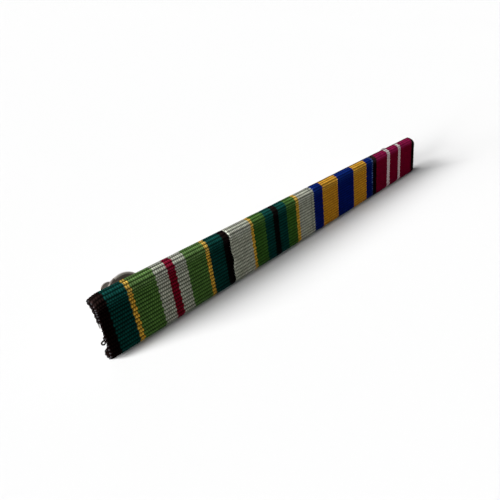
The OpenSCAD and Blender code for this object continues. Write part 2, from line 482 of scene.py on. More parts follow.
def folded_ribbon_tree():
    """A ribbon wrapped round the bar: a closed wall of cloth, ribs across it and warp threads along it."""
    tree, g, value, out = geometry_tree("Folded ribbon", [
        ("Columns", "Int", 277), ("Rows", "Int", 218), ("Threads", "Int", 69),
        ("Rib Height", "Float", 0.2), ("Thread Height", "Float", 0.09), ("Seed", "Float", 1.0),
    ] + CLOTH_INPUTS)
    width = value["Width"]
    cube = g.node("GeometryNodeMeshCube", {
        "Size": (1, 1, 1), "Vertices X": value["Columns"], "Vertices Y": value["Rows"], "Vertices Z": 2})
    x, y, z = g.parts(g.node("GeometryNodeInputPosition").outputs[0])
    inner = g.minus(0.5, z)
    outer = g.minus(1, inner)

    # The cloth is laid out flat: u across it from its left selvedge, t along it from its lower raw end. The
    # hidden inside needs few faces, so its corners gather on a coarse grid and are merged.
    inner_columns, merging = 29, 0.002
    pitch = g.over(CLOTH_L, value["Ribs"])
    spots = []
    for share, length, coarse in ((x, width, g.over(width, inner_columns)), (y, CLOTH_L, pitch)):
        fine = g.times(g.add(share, 0.5), length)
        gathered = g.math("SNAP", g.add(fine, g.times(coarse, 0.5)), coarse)
        spots.append(g.add(g.times(outer, fine), g.times(inner, gathered)))
    u, t = spots
    cloth = Cloth(g, value, g.minus(t, LOWER_RUN), u)
    off, crest = standing_off(g, value, u, t, inner)

    # How far the selvedges stand in from straight lines
    from_left, from_right = u, g.minus(width, u)
    scallop = g.times(g.minus(1, crest), 0.09)
    shift = 0.0
    for distance, end, sign in ((from_left, "Left", 1), (from_right, "Right", -1)):
        stray, tuck = cloth.inset(end)
        inward = g.add(
            g.times(stray, g.fade(distance, 0.8)),
            g.times(scallop, g.fade(distance, 0.35)),
            g.times(tuck, g.fade(distance, TUCK_REACH)),
        )
        shift = g.add(shift, g.times(inward, sign))

    place = cloth.place(g.add(u, shift), off, cloth.droop(from_left, from_right))
    sheet = marked(g, cube.outputs["Mesh"], g.vector(u, t, inner))
    placed = g.node("GeometryNodeSetPosition", {"Geometry": sheet, "Position": place}).outputs[0]
    merged = g.node("GeometryNodeMergeByDistance", {"Geometry": placed, "Distance": merging}).outputs[0]
    finish_tree(g, merged, value, out)
    return tree


def selvedge_tree():
    """The weft's turns at a ribbon's two selvedges: one small loop round the edge to each rib."""
    tree, g, value, out = geometry_tree("Selvedge loops", [
        ("Loop Radius", "Float", 0.17), ("Thread Radius", "Float", 0.075),
    ] + CLOTH_INPUTS)
    width = value["Width"]
    # How far each loop goes round, and how deep in the wall its middle lies
    sweep, deep = 230, 0.28
    index = g.node("GeometryNodeInputIndex").outputs[0]
    s = g.minus(g.times(g.add(index, 0.5), g.over(CLOTH_L, value["Ribs"])), LOWER_RUN)
    section = thread_section(g, value, 5)
    joined = g.node("GeometryNodeJoinGeometry")
    for end, from_left, from_right, middle in (("Left", 0.0, width, 180), ("Right", width, 0.0, 0)):
        cloth = Cloth(g, value, s, from_left)
        stray, tuck = cloth.inset(end)
        inward = g.add(stray, tuck, value["Loop Radius"])
        x = inward if end == "Left" else g.minus(width, inward)
        arc = g.node("GeometryNodeCurveArc", {
            "Resolution": 9, "Radius": value["Loop Radius"], "Sweep Angle": math.radians(sweep),
            "Start Angle": math.radians(middle - sweep / 2)}, mode="RADIUS").outputs[0]
        line = g.node("GeometryNodeMeshLine", {"Count": value["Ribs"]}).outputs[0]
        place = cloth.place(x, -deep, cloth.droop(from_left, from_right))
        set_out = g.node("GeometryNodeSetPosition", {"Geometry": line, "Position": place}).outputs[0]
        copies = g.node("GeometryNodeInstanceOnPoints", {
            "Points": set_out, "Instance": tube(g, arc, section),
            "Rotation": g.vector(g.times(cloth.side, cloth.turn, -1), 0.0, 0.0)}).outputs[0]
        g.feed(joined.inputs[0], copies)
    finish_tree(g, joined.outputs[0], value, out)
    return tree


def fray_tree():
    """Short loose warp threads at a ribbon's two raw ends, on the back of the bar."""
    tree, g, value, out = geometry_tree("Frayed ends", [
        ("Strands", "Int", 138), ("Length", "Float", 0.7), ("Thread Radius", "Float", 0.05),
        ("Seed", "Int", 1),
    ] + CLOTH_INPUTS)
    width = value["Width"]
    # Steps along a strand, how much of it the hem holds, how deep it starts, and where on the cloth its
    # material takes it to be
    steps, held, deep, by_raw_end = 5, 0.3, 0.35, 0.4
    section = thread_section(g, value, 4)
    line = g.node("GeometryNodeMeshLine", {"Count": value["Strands"], "Offset": (1, 0, 0)}).outputs[0]
    strand = g.node("GeometryNodeMeshLine", {"Count": steps + 1, "Offset": (0, 1, 0)}).outputs[0]
    copies = g.node("GeometryNodeInstanceOnPoints", {"Points": line, "Instance": strand}).outputs[0]
    strands = g.node("GeometryNodeRealizeInstances", {"Geometry": copies}).outputs[0]
    number, step, _ = g.parts(g.node("GeometryNodeInputPosition").outputs[0])
    number = g.math("ROUND", number)
    along = g.over(step, steps)
    bend = g.times(along, along)
    joined = g.node("GeometryNodeJoinGeometry")

    def chance(low, high, offset):
        node = g.node("FunctionNodeRandomValue", {"ID": number, "Seed": g.add(value["Seed"], offset)},
                      data_type="FLOAT")
        node.inputs[2].default_value = low
        node.inputs[3].default_value = high
        return node.outputs[1]

    for side, run in ((-1, LOWER_RUN), (1, UPPER_RUN)):
        draw = 10 * (side + 2)
        start = g.times(g.add(number, 0.5), g.over(width, value["Strands"]))
        # The threads next to the selvedges have come loose furthest
        loose = g.add(1, g.times(g.fade(start, 0.9), 1.2), g.fade(g.minus(width, start), 0.9))
        length = g.times(value["Length"], loose, chance(0.15, 1.0, draw), chance(0.5, 1.0, draw + 1))
        reach = g.add(run - held, g.times(along, g.add(length, held)))
        u = g.add(start, g.times(bend, chance(-0.25, 0.25, draw + 2)))
        cloth = Cloth(g, value, g.times(reach, side), u)
        x = u
        for distance, end, sign in ((u, "Left", 1), (g.minus(width, u), "Right", -1)):
            _, tuck = cloth.inset(end)
            x = g.add(x, g.times(tuck, g.fade(distance, TUCK_REACH), sign))
        off = g.add(-deep, chance(-0.25, 0.0, draw + 3), g.times(bend, chance(0.0, 0.35, draw + 4)))
        threads = marked(g, strands, g.vector(u, by_raw_end, 0.0))
        placed = g.node("GeometryNodeSetPosition", {
            "Geometry": threads, "Position": cloth.place(x, off, 0.0)}).outputs[0]
        curves = g.node("GeometryNodeMeshToCurve", {"Mesh": placed}).outputs[0]
        g.feed(joined.inputs[0], tube(g, curves, section))
    finish_tree(g, joined.outputs[0], value, out)
    return tree


def thread_along(name, points, radius, material):
    """A loose thread on a smooth curve through points of the bar's own frame, as a mesh tube."""
    curve = bpy.data.curves.new(name, "CURVE")
    curve.dimensions = "3D"
    curve.bevel_depth, curve.bevel_resolution, curve.resolution_u = radius, 1, 4
    curve.use_fill_caps = True
    spline = curve.splines.new("NURBS")
    spline.points.add(len(points) - 1)
    for point, place in zip(spline.points, points):
        point.co = (*place, 1.0)
    spline.order_u, spline.use_endpoint_u = 4, True
    maker = bpy.data.objects.new(name + "_maker", curve)
    mesh = bpy.data.meshes.new_from_object(maker)
    bpy.data.objects.remove(maker)
    mesh.materials.clear()
    mesh.materials.append(material)
    mesh.transform(bar_matrix())
    mesh.shade_smooth()
    return linked(name, mesh)


def curl(centre, radius, start, end, drift, steps=7):
    """Points round a loop that lies facing the bar's left end, drifting along the bar as it turns."""
    points = []
    for i in range(steps + 1):
        share = i / steps
        angle = math.radians(start + share * (end - start))
        points.append((
            centre[0] + drift * share + radius * math.cos(angle),
            centre[1] + 0.25 * radius * math.sin(angle),
            centre[2] + radius * math.sin(angle),
        ))
    return points


def stray_threads(material):
    """Two threads pulled out of the lower hem's raw end at the bar's left corner: a ring and a tuft."""
    root = (1.3, 2.3, 3.6)
    ring = [root, (0.9, 2.25, 3.6)] + curl((0.36, 2.1, 3.2), 0.33, 70, 400, 0.12) + [(1.2, 2.3, 3.0)]
    tuft = [(1.4, 2.3, 3.6), (1.15, 2.2, 4.15), (0.85, 2.1, 4.3), (0.62, 2.1, 4.0), (0.85, 2.2, 3.65), root]
    return [thread_along("ribbon_1_stray_ring", ring, 0.15, material),
            thread_along("ribbon_1_stray_tuft", tuft, 0.14, material)]


def new_material(name):
    """A material with one Principled shader, and its Graph and shader node."""
    material = bpy.data.materials.new(name)
    material.use_nodes = True
    material.node_tree.nodes.clear()
    g = Graph(material.node_tree)
    shader = g.node("ShaderNodeBsdfPrincipled")
    g.node("ShaderNodeOutputMaterial", {"Surface": shader.outputs[0]})
    return material, g, shader


def shade(colour, tone=1.0):
    """A node's colour from a red, green and blue, darker or lighter by tone."""
    return (*[min(part * tone, 1.0) for part in colour], 1.0)


def mixed(g, share, a, b, blend="MIX"):
    """Colour a turned into b by share."""
    node = g.node("ShaderNodeMix", data_type="RGBA", blend_type=blend, clamp_factor=True)
    g.feed(node.inputs[0], share)
    g.feed(node.inputs[6], a)
    g.feed(node.inputs[7], b)
    return node.outputs[2]


def bump(g, shader, height, strength, distance):
    """Gives a shader low relief of a height in millimetres."""
    node = g.node("ShaderNodeBump", {"Strength": strength, "Distance": distance * MM, "Height": height})
    g.feed(shader.inputs["Normal"], node.outputs[0])


def stripe_ramp(g, across, rows, width, colours):
    """The stripe's colour at a distance from the left selvedge."""
    ramp = g.node("ShaderNodeValToRGB", {0: g.times(across, 1 / width)})
    stops = ramp.color_ramp
    stops.interpolation = "CONSTANT"
    start = 0.0
    for i, (colour, stripe) in enumerate(rows):
        stop = stops.elements[i] if i < 2 else stops.elements.new(start / width)
        stop.position = start / width
        stop.color = shade(colours[colour])
        start += stripe
    return ramp.outputs[0]


def painted_fold_sheen(g, colour, past_crown, weave):
    """The stripes' colour, paler on the upper fold by a painted sheen, its deep colours most."""
    sheen_dimming = 0.35
    sheened = g.times(g.ramp(past_crown, -weave["reach"], 1.6 - weave["reach"]),
                     g.ramp(past_crown, 0.2, 2.2, 1.0, 0.0))
    sheen_colour = g.node("ShaderNodeGamma", {"Color": colour, "Gamma": 1 - weave["pale"]}).outputs[0]
    sheen_dimmed = shade((1, 1, 1), 1 - sheen_dimming * weave["pale"])
    return mixed(g, sheened, colour, mixed(g, 1.0, sheen_colour, sheen_dimmed, "MULTIPLY"))


def cloth_material(name, rows, weave, colours):
    """Woven stripes: warp threads in bricks, half a brick apart from rib to rib, with painted shade in the
    grooves and between threads.
    """
    material, g, shader = new_material(name)
    width = cloth_width(rows)
    u, t, _ = g.parts(g.node("ShaderNodeAttribute", attribute_name="cloth").outputs["Vector"])
    rib = g.times(t, weave["ribs"] / CLOTH_L)
    row = g.math("FLOOR", rib)
    odd = g.math("PINGPONG", row, 1)
    pitch = width / weave["threads"]
    thread = g.add(g.times(u, 1 / pitch), g.times(odd, 0.5))
    brick = g.vector(g.math("FLOOR", thread), row, 0.0)
    yarn = g.node("ShaderNodeTexWhiteNoise", {"Vector": brick}, noise_dimensions="3D").outputs[0]
    fibres = g.noise(g.vector(g.times(u, 9.0), g.times(t, 1.2), 0.0), detail=3.0)

    # A stripe's edge steps from rib to rib, and sways a little
    sway = g.minus(g.noise(g.vector(g.times(u, 0.5), row, 3.0), detail=1.0), 0.5)
    across = g.add(u, g.times(sway, weave["stray"]), g.times(g.minus(odd, 0.5), pitch * STEP))
    past_crown = g.minus(t, CROWN)
    # A painted sheen pales the upper fold
    colour = painted_fold_sheen(g, stripe_ramp(g, across, rows, width, colours), past_crown, weave)

    # Painted shade: the bottoms of the grooves are darker, most on the upper fold, the gaps between threads
    # are darker, and the fold's rear edge is darkened
    rim, rear_shade_strength = 0.75, 0.7
    on_crown = g.bell(past_crown, 0.5)
    deepest_shade = g.times(g.minus(1, g.times(on_crown, 0.9)), weave["groove_shade"])
    groove_shade = g.lifted(deepest_shade, g.crest(rib, 1.0))
    gap = g.lifted(weave["gap"], g.crest(thread, 0.8))
    rear_shade = g.bell(g.minus(past_crown, rim), 4.0)
    unshaded = g.minus(1, g.times(rear_shade, rear_shade_strength))
    tone = g.times(groove_shade, gap, g.varied(yarn, 0.3), g.varied(fibres, 0.4), unshaded)
    grey = g.node("ShaderNodeCombineColor", {0: tone, 1: tone, 2: tone}).outputs[0]
    woven = mixed(g, 1.0, colour, grey, "MULTIPLY")
    if "shows" in weave:
        # A dashed line of weft shows through near the right selvedge
        from_right, line, weft = weave["shows"]
        near = g.math("ABSOLUTE", g.minus(u, width - from_right))
        uneven = g.add(g.times(yarn, 0.9), 0.1)
        dash = g.times(g.ramp(near, line / 2, line, 1.0, 0.0), g.crest(rib, 1.4), uneven)
        woven = mixed(g, dash, woven, shade(weft))
    g.feed(shader.inputs["Base Color"], woven)
    shader.inputs["Roughness"].default_value = weave["roughness"]
    g.feed(shader.inputs["Specular IOR Level"], g.times(on_crown, weave["gloss"]))

    # Three filaments to a thread, and finer hairs
    filaments = g.crest(g.times(u, 3 / pitch), 1.0)
    hairs = g.noise(g.vector(g.times(u, 14.0), g.times(t, 4.0), 1.0), detail=3.0)
    bump(g, shader, g.add(g.times(filaments, 0.5), g.times(hairs, 0.5)), 0.5, 0.04)
    return material


def thread_material(name, colour):
    """A single thread, mottled by its fibres."""
    material, g, shader = new_material(name)
    fibre = g.noise(g.node("ShaderNodeTexCoord").outputs["Object"], 9000.0)
    g.feed(shader.inputs["Base Color"], mixed(g, fibre, shade(colour, 0.6), shade(colour, 1.4)))
    shader.inputs["Roughness"].default_value = 0.5
    shader.inputs["Specular IOR Level"].default_value = 0.03
    bump(g, shader, fibre, 0.3, 0.02)
    return material


def nickel_material(name, colour, roughness, grain):
    """Nickel plate, with soft cloudy wear and fine scratches."""
    material, g, shader = new_material(name)
    place = g.node("ShaderNodeTexCoord").outputs["Object"]
    cloud = g.noise(place, 420.0, 3.0)
    brushed = g.node("ShaderNodeMapping", {"Vector": place, "Scale": (700, 5000, 2600)}).outputs[0]
    scratch = g.noise(brushed, detail=3.0)
    g.feed(shader.inputs["Base Color"],
           mixed(g, g.ramp(cloud, 0.35, 0.7), shade(colour), shade(colour, 0.82)))
    shader.inputs["Metallic"].default_value = 1.0
    g.feed(shader.inputs["Roughness"], g.add(roughness, g.times(cloud, 0.1), g.times(scratch, grain)))
    bump(g, shader, scratch, 0.05, 0.02)
    return material


def arc_points(centre, radius, start, end, steps):
    """Points on an arc, angles in degrees."""
    angles = [math.radians(start + (end - start) * i / steps) for i in range(steps + 1)]
    return [(centre[0] + radius * math.cos(a), centre[1] + radius * math.sin(a)) for a in angles]


def even_angles(count):
    """Angles of a whole turn in equal steps, in radians."""
    return [2 * math.pi * i / count for i in range(count)]


def turned(mesh, profile, closed, angles):
    """Turns a profile of radii and heights about z. Points on the axis become one point."""
    rings = []
    for radius, height in profile:
        if radius == 0:
            rings.append([mesh.verts.new((0, 0, height))] * len(angles))
        else:
            rings.append([mesh.verts.new((radius * math.cos(a), radius * math.sin(a), height))
                          for a in angles])
    faces = {}
    last = len(profile) if closed else len(profile) - 1
    for i in range(last):
        low, high = rings[i], rings[(i + 1) % len(profile)]
        for j in range(len(angles)):
            k = (j + 1) % len(angles)
            corners = []
            for vert in (low[j], low[k], high[k], high[j]):
                if vert not in corners:
                    corners.append(vert)
            if len(corners) > 2:
                faces[(i, j)] = mesh.faces.new(corners)
    return faces


def piece_from(name, mesh, matrix, material, smooth_angle):
    """An object from a bmesh in millimetres, moved to its place in the row frame."""
    bmesh.ops.recalc_face_normals(mesh, faces=mesh.faces)
    data = bpy.data.meshes.new(name)
    mesh.to_mesh(data)
    mesh.free()
    data.transform(matrix)
    data.materials.append(material)
    data.shade_smooth()
    data.set_sharp_from_angle(angle=math.radians(smooth_angle))
    return linked(name, data)


def applied(piece):
    """Replaces a piece's mesh with what its modifiers make, and removes them."""
    evaluated = piece.evaluated_get(bpy.context.evaluated_depsgraph_get())
    data = bpy.data.meshes.new_from_object(evaluated)
    piece.modifiers.clear()
    piece.data = data


def bevelled(piece, width, angle):
    """Rounds a piece's edges that are sharper than an angle in degrees."""
    modifier = piece.modifiers.new("Soften", "BEVEL")
    modifier.width, modifier.segments = width * MM, 2
    modifier.limit_method, modifier.angle_limit = "ANGLE", math.radians(angle)
    applied(piece)


def clutch_matrix(clutch):
    """A clutch's own frame, in millimetres, in the row frame."""
    turn = Matrix.Rotation(math.radians(clutch["turn"]), 4, "Z")
    return bar_matrix() @ facing_back(clutch["x"], clutch["y"], PIN_Z) @ turn


def stamped_flange(name, clutch, material, tarnished):
    """The clutch's flat disc: a hole for the pin, a pressed ring round it, an edge rolled into a bead."""
    half = SHEET_T / 2
    chamfer, pressed, slope = 0.08, 0.09, 0.25
    ring_in, ring_out, rim_in = 1.5, 2.25, 3.2
    bead = (FLANGE_R - BEAD_R, 0.0)
    opening = math.degrees(math.asin(half / BEAD_R))
    profile = [(ENTRY_R, chamfer - half), (ENTRY_R + chamfer, -half), (ring_in, -half)]
    profile += [(ring_in + slope, -half - pressed), (ring_out - slope, -half - pressed)]
    profile += [(ring_out, -half), (rim_in, -half)]
    last_shaded = len(profile) + 1
    profile += arc_points(bead, BEAD_R, -180 + opening, 180 - opening, 14)
    profile += [(rim_in, half), (ENTRY_R + chamfer, half), (ENTRY_R, half - chamfer)]
    mesh = bmesh.new()
    angles = even_angles(72)
    faces = turned(mesh, profile, True, angles)
    # The side towards the bar gets a painted shade up to the front of its bead, and so does the whole of its
    # left edge
    left_edge = -0.78
    for (i, j), face in faces.items():
        face.material_index = 1 if i <= last_shaded or math.cos(angles[j]) < left_edge else 0
    piece = piece_from(name, mesh, clutch_matrix(clutch), material, 50)
    piece.data.materials.append(tarnished)
    return piece


def stamped_dome(name, clutch, material):
    """The clutch's hollow dome, with a window on each side for the spring's wings."""
    half_window = math.asin((STRIP_W / 2 + WINDOW_GAP) / CAP_R)
    in_window, between = 12, 20
    angles = []
    for start in (0.0, math.pi):
        angles += [start - half_window + 2 * half_window * i / in_window for i in range(in_window)]
        span = math.pi - 2 * half_window
        angles += [start + half_window + span * i / between for i in range(between)]
    spring_line = CAP_H - DOME_R
    window_top = math.degrees(math.asin((WINDOW_HIGH - spring_line) / DOME_R))
    foot = [(CAP_R + 0.3, 0.12), (CAP_R + 0.08, 0.22), (CAP_R, 0.45)]
    wall = [(CAP_R, WINDOW_LOW), (CAP_R, 1.6), (CAP_R, spring_line)]
    crown = arc_points((CAP_R - DOME_R, spring_line), DOME_R, window_top, 84, 10) + [(0, CAP_H)]
    mesh = bmesh.new()
    faces = turned(mesh, foot + wall + crown, False, angles)
    in_wall = range(len(foot), len(foot) + len(wall))
    cut = [face for (i, j), face in faces.items() if i in in_wall and j % (in_window + between) < in_window]
    bmesh.ops.delete(mesh, geom=cut, context="FACES")
    piece = piece_from(name, mesh, clutch_matrix(clutch), material, 50)
    thickness = piece.modifiers.new("Wall", "SOLIDIFY")
    thickness.thickness, thickness.offset = SHEET_T * MM, -1.0
    thickness.use_even_offset = True
    applied(piece)
    bevelled(piece, 0.05, 50)
    return piece


def flat_spring(name, clutch, material):
    """The spring: a flat strip with a round wing at each end, and a hole for the pin."""
    hole_r = PIN_R + 0.03
    reach = math.degrees(math.asin(STRIP_W / 2 / WING_R))
    outline = arc_points((WING_REACH, 0), WING_R, -180 + reach, 180 - reach, 32)
    outline += arc_points((-WING_REACH, 0), WING_R, reach, 360 - reach, 32)
    hole = arc_points((0, 0), hole_r, 0, 360, 24)[:-1]
    mesh = bmesh.new()
    edges = []
    for ring in (outline, hole):
        verts = [mesh.verts.new((x, y, 0)) for x, y in ring]
        edges += [mesh.edges.new((vert, verts[(i + 1) % len(verts)])) for i, vert in enumerate(verts)]
    bmesh.ops.triangle_fill(mesh, edges=edges, use_beauty=True)
    raised = bmesh.ops.extrude_face_region(mesh, geom=list(mesh.faces))
    for vert in raised["geom"]:
        if isinstance(vert, bmesh.types.BMVert):
            vert.co.z += SPRING_T
    bmesh.ops.translate(mesh, verts=mesh.verts, vec=(0, 0, SPRING_LEVEL - SPRING_T / 2))
    piece = piece_from(name, mesh, clutch_matrix(clutch), material, 35)
    bevelled(piece, 0.07, 40)
    return piece


def add_plate(mesh):
    """Adds the plate that the ribbons wrap, with round corners and softened edges."""
    x0, x1 = PLATE_INSET + PLATE_CORNER, BAR_L - PLATE_INSET - PLATE_CORNER
    z0, z1 = PLATE_LOW + PLATE_CORNER, BAR_H - PLATE_LOW - PLATE_CORNER
    outline = []
    for x, z, start in ((x1, z1, 0), (x0, z1, 90), (x0, z0, 180), (x1, z0, 270)):
        outline += arc_points((x, z), PLATE_CORNER, start, start + 90, 6)
    # How far in the edge is at each depth of it
    softened = [(0, 0.15), (0.08, 0.04), (0.2, 0)]
    softened += [(PLATE_T - depth, inset) for depth, inset in reversed(softened)]
    rings = []
    for depth, inset in softened:
        ring = []
        for x, z in outline:
            inward = Vector((min(max(x, x0), x1) - x, 0, min(max(z, z0), z1) - z)).normalized() * inset
            ring.append(mesh.verts.new(Vector((x, PLATE_BACK - PLATE_T + depth, z)) + inward))
        rings.append(ring)
    for low, high in zip(rings, rings[1:]):
        for i in range(len(low)):
            k = (i + 1) % len(low)
            mesh.faces.new((low[i], low[k], high[k], high[i]))
    faces = [mesh.faces.new(rings[0]), mesh.faces.new(list(reversed(rings[-1])))]
    bmesh.ops.triangulate(mesh, faces=faces)


def soldered_pin(clutch):
    """A pin with its point and the uneven fillet of solder round its foot, in the bar's own frame."""
    fillet = [(1.5, -0.1), (1.8, -0.02), (1.79, 0.1), (1.66, 0.24), (1.4, 0.33), (1.12, 0.38), (0.9, 0.48),
              (0.74, 0.66), (0.64, 0.95)]
    shaft = [(PIN_R, 1.4), (PIN_R, 3.5), (PIN_R, 6.5), (PIN_R, PIN_L - POINT_L)]
    point = [(0.5, PIN_L - 0.45), (0.3, PIN_L - 0.13), (0.12, PIN_L - 0.02), (0, PIN_L)]
    pin = bmesh.new()
    turned(pin, fillet + shaft + point, False, even_angles(40))
    for vert in pin.verts:
        x, y, z = vert.co
        pad = max(0.0, 1 - z / 0.6) if math.hypot(x, y) > PIN_R + 0.1 else 0.0
        angle = math.atan2(y, x) + clutch["x"]
        swell = 1 + pad * (0.05 * math.sin(3 * angle) + 0.04 * math.sin(5 * angle + 1))
        vert.co = (x * swell, y * swell, z)
    data = bpy.data.meshes.new("pin")
    pin.to_mesh(data)
    pin.free()
    data.transform(facing_back(clutch["x"], PLATE_BACK, PIN_Z))
    return data


def plated_bar(material):
    """The plate and its two soldered pins."""
    mesh = bmesh.new()
    add_plate(mesh)
    for clutch in CLUTCHES.values():
        pin = soldered_pin(clutch)
        mesh.from_mesh(pin)
        bpy.data.meshes.remove(pin)
    return piece_from("plated_bar", mesh, bar_matrix(), material, 40)


def colour_property(name, description, default):
    """A colour that a user may change."""
    return bpy.props.FloatVectorProperty(
        name=name, description=description, default=default, subtype="COLOR", size=3, min=0.0, max=1.0)


def number_property(name, description, default, high, subtype="NONE", low=0.0):
    """A size or share that a user may change."""
    return bpy.props.FloatProperty(
        name=name, description=description, default=default, min=low, max=high, subtype=subtype)


class RibbonBarColours(bpy.types.PropertyGroup):
    """Colours of the warp threads"""

    black: colour_property("Black", "Black stripes", (0.0045, 0.0021, 0.0018))
    dark_green: colour_property("Dark green", "Dark green stripes", (0.0026, 0.043, 0.035))
    leaf_green: colour_property("Leaf green", "Light green stripes, first ribbon", (0.081, 0.178, 0.038))
    moss_green: colour_property("Moss green", "Light green stripes, second ribbon", (0.041, 0.117, 0.018))
    yellow: colour_property("Yellow", "Narrow yellow stripes", (0.72, 0.40, 0.048))
    pale_grey: colour_property("Pale grey", "Grey-white stripes", (0.42, 0.435, 0.34))
    red: colour_property("Red", "Crimson stripe", (0.195, 0.004, 0.0155))
    blue: colour_property("Blue", "Royal blue stripes", (0.0018, 0.0105, 0.126))
    gold: colour_property("Gold", "Broad gold stripes", (0.60, 0.268, 0.020))
    maroon: colour_property("Maroon", "Maroon stripes", (0.175, 0.001, 0.019))
    white: colour_property("White", "White stripes of the last ribbon", (0.70, 0.58, 0.57))


class RibbonBarWeave(bpy.types.PropertyGroup):
    """Relief and wear of the cloth"""

    relief: number_property("Relief", "Height of ribs and threads, as a share of the real one", 1.0, 2.0,
                            "FACTOR")
    fray: number_property("Fray", "Greatest length of the loose threads at the raw ends, in millimetres",
                          0.8, 3.0, low=0.1)
    # Painted shade in the gaps between threads
    gap: number_property("Gap tone", "How light the gaps between neighbouring threads are", 0.18, 1.0,
                         "FACTOR")
    gloss: number_property("Gloss", "Specular level of the yarn where the upper fold is rubbed", 0.01, 1.0,
                           "FACTOR")


class RibbonBarMetal(bpy.types.PropertyGroup):
    """Finish of the metal parts"""

    nickel: colour_property("Nickel", "Colour of the plated caps", (0.46, 0.43, 0.41))
    spring: colour_property("Spring", "Colour of the plated springs", (0.35, 0.325, 0.30))
    # Painted shade: the flanges' faces towards the bar take this colour
    tarnish: colour_property("Tarnish", "Colour of the flanges towards the bar", (0.10, 0.085, 0.075))
    plate: colour_property("Plate", "Colour of the plated bar and pins", (0.60, 0.58, 0.54))
    polish: number_property("Roughness", "Roughness of the clutches' plating", 0.33, 0.8, "FACTOR", 0.02)


class RibbonBarStudio(bpy.types.PropertyGroup):
    """Light of the stage"""

    key: number_property("Key light", "Strength of the large soft light from the left", 8.2, 30.0)
    low: number_property("Low light", "Strength of the soft light just over the floor", 13.5, 30.0)
    spread: number_property("Light size", "Angle that each soft light covers", math.radians(19), math.pi,
                            "ANGLE")
    fill: number_property("Fill", "Strength of the light from all round", 0.03, 5.0)
    wall: number_property("Bright wall", "Strength of the wall behind that glossy surfaces mirror", 1.0, 5.0)


def soft_sun(name, strength, spread, azimuth, height):
    """A distant soft light from an azimuth, counted from +X towards +Y, and a height over the floor."""
    a, h = math.radians(azimuth), math.radians(height)
    sun = bpy.data.lights.new(name, "SUN")
    sun.energy, sun.angle = strength, spread
    toward = Vector((math.cos(h) * math.cos(a), math.cos(h) * math.sin(a), math.sin(h)))
    linked(name, sun).rotation_euler = toward.to_track_quat("Z", "Y").to_euler()


def lay_floor():
    """A wide pale floor, a hair below the bar."""
    half, below = 8.0, 0.00002
    mesh = bpy.data.meshes.new("floor")
    corners = [(x * half, y * half, -below) for x, y in ((-1, -1), (1, -1), (1, 1), (-1, 1))]
    mesh.from_pydata(corners, [], [(0, 1, 2, 3)])
    material, g, shader = new_material("pale_floor")
    cloud = g.noise(g.node("ShaderNodeTexCoord").outputs["Object"], 3.0, 1.0)
    g.feed(shader.inputs["Base Color"], mixed(g, cloud, shade((1, 1, 1), 0.66), shade((1, 1, 1), 0.67)))
    shader.inputs["Roughness"].default_value = 0.9
    shader.inputs["Specular IOR Level"].default_value = 0.0
    mesh.materials.append(material)
    floor = linked("floor", mesh)


def light_room(scene, studio):
    """A faint light from all round, a bright wall that only shows as a sheen, and two soft lights."""
    world = bpy.data.worlds.new("soft_room")
    world.use_nodes = True
    world.node_tree.nodes.clear()
    g = Graph(world.node_tree)
    direction = g.node("ShaderNodeTexCoord").outputs["Generated"]
    toward, behind = [
        g.node("ShaderNodeVectorMath", {0: direction, 1: aim}, operation="DOT_PRODUCT").outputs["Value"]
        for aim in ((-0.35, 0.55, 0.75), (0.35, 0.91, 0.22))]
    path = g.node("ShaderNodeLightPath")
    seen, mirrored = path.outputs["Is Camera Ray"], path.outputs["Is Glossy Ray"]
    glow = g.times(g.ramp(toward, -0.6, 1.0, 0.3, 1.8), studio.fill)
    sheen = g.times(mirrored, g.ramp(behind, 0.0, 0.95, 0.35, 1.0), studio.wall)
    strength = g.add(seen, g.times(g.minus(1, seen), g.add(glow, sheen)))
    sky = g.node("ShaderNodeBackground", {"Color": (1.0, 1.0, 1.0, 1.0), "Strength": strength})
    g.node("ShaderNodeOutputWorld", {"Surface": sky.outputs[0]})
    scene.world = world
    soft_sun("window", studio.key, studio.spread, 163, 22)
    soft_sun("low_window", studio.low, 1.1 * studio.spread, 177.6, 6)


def place_camera(scene):
    """The camera where the photograph was taken from."""
    lens = bpy.data.cameras.new("camera")
    lens.sensor_width, lens.lens = SENSOR_W, SENSOR_W * FOCAL_PX / FRAME_PX
    lens.clip_start, lens.clip_end = 0.001, 50.0
    right, look = CAMERA_RIGHT.normalized(), CAMERA_LOOK.normalized()
    turn = Matrix((right, right.cross(look), -look)).transposed()
    camera = linked("camera", lens)
    camera.matrix_world = Matrix.Translation(to_row(*CAMERA_PLACE)) @ turn.to_4x4()
    scene.camera = camera


class RIBBONBAR_OT_stage(bpy.types.Operator):
    """Lay a pale floor, set the soft light and place the camera"""

    bl_idname = "ribbonbar.stage"
    bl_label = "Stage"

    def execute(self, context):
        context.scene.view_settings.view_transform = "Standard"
        lay_floor()
        light_room(context.scene, context.scene.ribbon_bar_studio)
        place_camera(context.scene)
        return {"FINISHED"}


def cloth_width(rows):
    """A ribbon's width: that of its stripes together."""
    return sum(stripe for _, stripe in rows)


def cloth_values(i, name):
    """What the trees that follow a ribbon's cloth need to know of it."""
    left, right = EDGE_LINES[i], EDGE_LINES[i + 1]
    values = {
        "Ribs": WEAVES[name]["ribs"], "Width": cloth_width(STRIPES[name]), "Left Edge": LEFT_EDGES[name],
        "Left Seed": 1.0 + i, "Right Seed": 2.0 + i, "Left Bulge": left["bulge"], "Left Drop": left["drop"],
        "Front Dip": DIPS[name],
    }
    # A line between two ribbons strays the same way on both, so it is turned round on its left one
    inward = 1 if i + 1 == len(STRIPES) else -1
    for trait, sign in (("wave", inward), ("notch", inward), ("droop", 1), ("tuck", 1), ("lean", -1)):
        values["Left " + trait.title()] = left[trait]
        values["Right " + trait.title()] = sign * right[trait]
    return values


